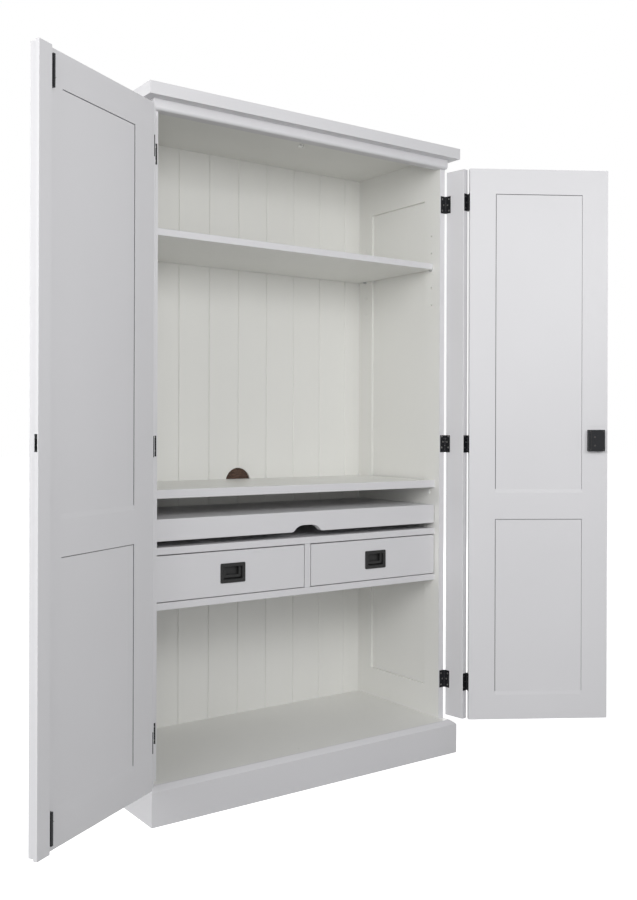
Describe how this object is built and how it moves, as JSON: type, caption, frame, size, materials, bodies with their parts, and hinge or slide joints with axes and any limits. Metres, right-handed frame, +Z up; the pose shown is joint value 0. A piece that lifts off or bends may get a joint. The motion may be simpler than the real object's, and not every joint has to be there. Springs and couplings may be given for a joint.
{
  "type": "computer armoire",
  "caption": "Tall white computer cupboard with bi-fold panelled doors, boarded back, shelf, desk, pull-out keyboard tray and drawers with flush black pulls.",
  "frame": {"origin": "on the floor, on the centre line, under the front plane of the carcass", "axes": "+X to the right seen from the front, +Y into the cabinet, +Z up"},
  "size_m": [1.7135, 0.6983, 1.76],
  "materials": {
    "painted_wood": "white satin paint",
    "painted_interior": "white satin paint",
    "blackened_metal": "black lacquer",
    "steel": "satin",
    "white_plastic": "matt"
  },
  "bodies": {
    "carcass": {"back_boards": "painted_interior", "bottom_board": "painted_wood", "carcass_hinge_leaves": "blackened_metal", "carcass_hinge_pins": "blackened_metal", "cover_caps": "white_plastic", "crown_front": "painted_wood", "crown_sides": "painted_wood", "desk_shelf": "painted_interior", "drawer_divider": "painted_wood", "drawer_unit_bottom": "painted_wood", "drawer_unit_top": "painted_wood", "frieze": "painted_wood", "left_side_frame": "painted_wood", "left_side_panels": "painted_interior", "plinth_bearers": "painted_wood", "plinth_front": "painted_wood", "plinth_sides": "painted_wood", "right_side_frame": "painted_wood", "right_side_panels": "painted_interior", "shelf_pins": "steel", "top_board": "painted_wood", "top_rail": "painted_wood", "tray_slides_fixed": "steel", "upper_shelf": "painted_interior"},
    "tray": {"tray_board": "painted_wood", "tray_apron": "painted_wood", "tray_slides_moving": "steel"},
    "left_drawer": {"left_drawer_front": "painted_wood", "left_drawer_sides": "painted_wood", "left_drawer_back": "painted_wood", "left_drawer_bottom": "painted_wood", "left_pull_plate": "blackened_metal"},
    "right_drawer": {"right_drawer_front": "painted_wood", "right_drawer_sides": "painted_wood", "right_drawer_back": "painted_wood", "right_drawer_bottom": "painted_wood", "right_pull_plate": "blackened_metal"},
    "left_bail": {"left_pull_bail": "blackened_metal"},
    "right_bail": {"right_pull_bail": "blackened_metal"},
    "left_strip": {"left_strip_leaf": "painted_wood", "left_strip_hinge_leaves": "blackened_metal", "left_strip_hinge_pins": "blackened_metal"},
    "right_strip": {"right_strip_leaf": "painted_wood", "right_strip_hinge_leaves": "blackened_metal", "right_strip_hinge_pins": "blackened_metal"},
    "left_door": {"left_door_stiles": "painted_wood", "left_door_rails": "painted_wood", "left_door_panels": "painted_wood", "left_door_hinge_leaves": "blackened_metal", "astragal": "painted_wood", "strike_plate": "blackened_metal", "door_bolt_cases": "blackened_metal"},
    "right_door": {"right_door_stiles": "painted_wood", "right_door_rails": "painted_wood", "right_door_panels": "painted_wood", "right_door_hinge_leaves": "blackened_metal", "lock_case": "blackened_metal"},
    "top_bolt": {"top_bolt_rod": "blackened_metal"},
    "bottom_bolt": {"bottom_bolt_rod": "blackened_metal"},
    "lock_bolt": {"lock_bolt": "steel"}
  },
  "joints": [
    {"name": "left_strip_hinge", "type": "hinge", "parent": "carcass", "child": "left_strip", "pos_m": [-0.476, -0.0011, 0.9], "axis": [0, 0, -1], "range_deg": [-104.5, 75.5]},
    {"name": "right_strip_hinge", "type": "hinge", "parent": "carcass", "child": "right_strip", "pos_m": [0.476, -0.0011, 0.9], "axis": [0, 0, 1], "range_deg": [-98.5, 81.5]},
    {"name": "left_door_hinge", "type": "hinge", "parent": "left_strip", "child": "left_door", "pos_m": [-0.51287, -0.06139, 0.9], "axis": [0, 0, -1], "range_deg": [-44.8, 45.2]},
    {"name": "right_door_hinge", "type": "hinge", "parent": "right_strip", "child": "right_door", "pos_m": [0.50637, -0.06491, 0.9], "axis": [0, 0, 1], "range_deg": [-49.5, 40.5]},
    {"name": "tray_slide", "type": "slide", "parent": "carcass", "child": "tray", "axis": [0, -1, 0], "range_m": [0, 0.25]},
    {"name": "left_drawer_slide", "type": "slide", "parent": "carcass", "child": "left_drawer", "axis": [0, -1, 0], "range_m": [0, 0.28]},
    {"name": "right_drawer_slide", "type": "slide", "parent": "carcass", "child": "right_drawer", "axis": [0, -1, 0], "range_m": [0, 0.28]},
    {"name": "left_bail_hinge", "type": "hinge", "parent": "left_drawer", "child": "left_bail", "pos_m": [-0.232, 0.024, 0.5865], "axis": [-1, 0, 0], "range_deg": [0, 80]},
    {"name": "right_bail_hinge", "type": "hinge", "parent": "right_drawer", "child": "right_bail", "pos_m": [0.232, 0.024, 0.5865], "axis": [-1, 0, 0], "range_deg": [0, 80]},
    {"name": "top_bolt_slide", "type": "slide", "parent": "left_door", "child": "top_bolt", "axis": [0, 0, 1], "range_m": [0, 0.032]},
    {"name": "bottom_bolt_slide", "type": "slide", "parent": "left_door", "child": "bottom_bolt", "axis": [0, 0, -1], "range_m": [0, 0.032]},
    {"name": "lock_bolt_slide", "type": "slide", "parent": "right_door", "child": "lock_bolt", "axis": [0.848, -0.5299, 0], "range_m": [0, 0.01]}
  ]
}
